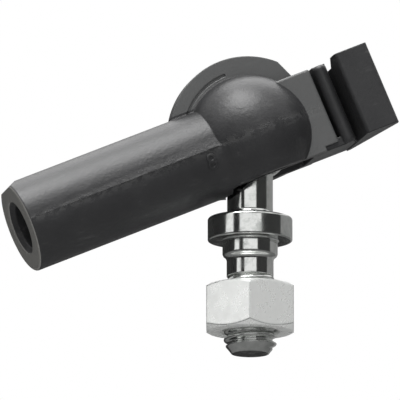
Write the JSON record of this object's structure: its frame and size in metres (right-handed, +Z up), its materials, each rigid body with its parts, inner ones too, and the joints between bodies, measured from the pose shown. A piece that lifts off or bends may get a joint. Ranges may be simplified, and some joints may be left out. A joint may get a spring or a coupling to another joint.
{
  "type": "angle ball joint",
  "caption": "Angle ball joint: plastic socket on a threaded shank, with a locking clip at the far side, and a plated steel ball stud with collar, thread and hex nut.",
  "frame": {"origin": "on the stud's axis, in the plane of the collar's seat, where the lever's face bears; the ball's centre is 15.5 mm above it", "axes": "+Z up along the stud from its threaded tip to the ball, -Y the front, +X from the threaded mouth of the shank towards the clip; the shank slopes down towards -X, 23.3 degrees below the level"},
  "size_m": [0.0584, 0.0192, 0.0465],
  "materials": {
    "housing_plastic": "moulded black plastic with a satin skin",
    "clip_plastic": "moulded black plastic with a satin skin",
    "stud_steel": "bright zinc plating on turned steel",
    "nut_steel": "bright zinc plating on forged steel"
  },
  "bodies": {
    "socket": {"housing": "housing_plastic"},
    "clip": {"locking_clip": "clip_plastic"},
    "stud": {"ball_stud": "stud_steel"},
    "nut": {"hex_nut": "nut_steel"}
  },
  "joints": [
    {"name": "stud_swing", "type": "hinge", "parent": "socket", "child": "stud", "pos_m": [0, 0, 0.0155], "axis": [0, -1, 0], "range_deg": [-1.7, 48.3]},
    {"name": "nut_travel", "type": "slide", "parent": "stud", "child": "nut", "axis": [0, 0, -1], "range_m": [-0.004, 0.011]},
    {"name": "clip_slide", "type": "slide", "parent": "socket", "child": "clip", "axis": [0.9184, 0, 0.3955], "range_m": [0, 0.018]}
  ]
}
